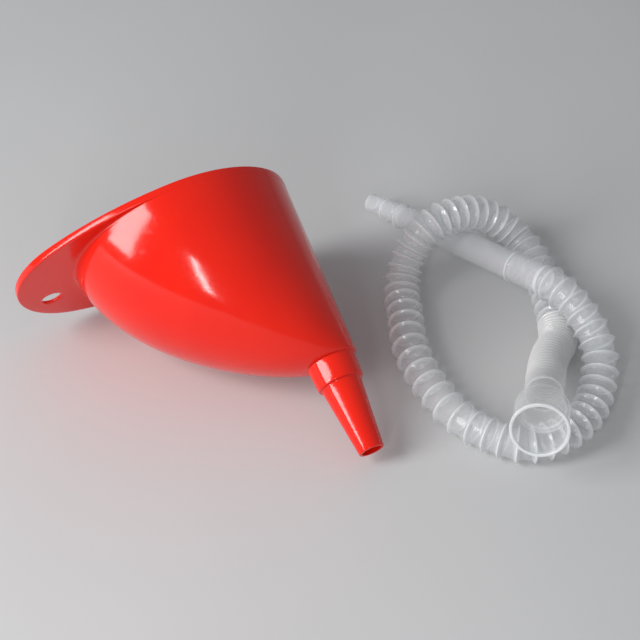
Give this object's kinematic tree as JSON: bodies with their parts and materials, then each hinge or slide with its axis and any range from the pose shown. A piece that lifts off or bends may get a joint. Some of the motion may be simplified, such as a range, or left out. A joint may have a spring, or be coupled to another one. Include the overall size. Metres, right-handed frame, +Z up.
{
  "type": "funnel",
  "caption": "Offset-spout plastic funnel with a hanging tab, and its detachable long flexible pouring hose with a push-on cup and stepped tip.",
  "frame": {"origin": "middle of the lying funnel's footprint on the table, without the hose", "axes": "+Z up from the table, -Y where the lying funnel's spout points, -X where its hanging tab points, the hose at +X"},
  "size_m": [0.3115, 0.2545, 0.1279],
  "materials": {
    "funnel_red": "glossy injection-moulded red polypropylene",
    "hose_clear": "translucent natural polyethylene, corrugated",
    "bellows_clear": "translucent natural polyethylene, closely ribbed and milky",
    "tube_clear": "smooth translucent natural polyethylene"
  },
  "bodies": {
    "funnel": {"funnel": "funnel_red"},
    "hose": {"corrugated_hose": "hose_clear", "bend_bellows": "bellows_clear", "smooth_tube": "tube_clear", "stepped_tip": "tube_clear"},
    "neck": {"draw_bellows": "bellows_clear"},
    "cup": {"hose_cup": "hose_clear"}
  },
  "joints": [
    {"name": "hose_lift", "type": "slide", "parent": "funnel", "child": "hose", "axis": [0, 0, 1], "range_m": [0, 0.15]},
    {"name": "neck_bend", "type": "hinge", "parent": "hose", "child": "neck", "pos_m": [0.1888, -0.0687, 0.0165], "axis": [-0.8141, 0.5807, 0], "range_deg": [0, 40], "deforming": ["bend_bellows"]},
    {"name": "cup_draw", "type": "slide", "parent": "neck", "child": "cup", "axis": [-0.5568, -0.7806, 0.284], "range_m": [0, 0.03], "deforming": ["draw_bellows"]}
  ]
}
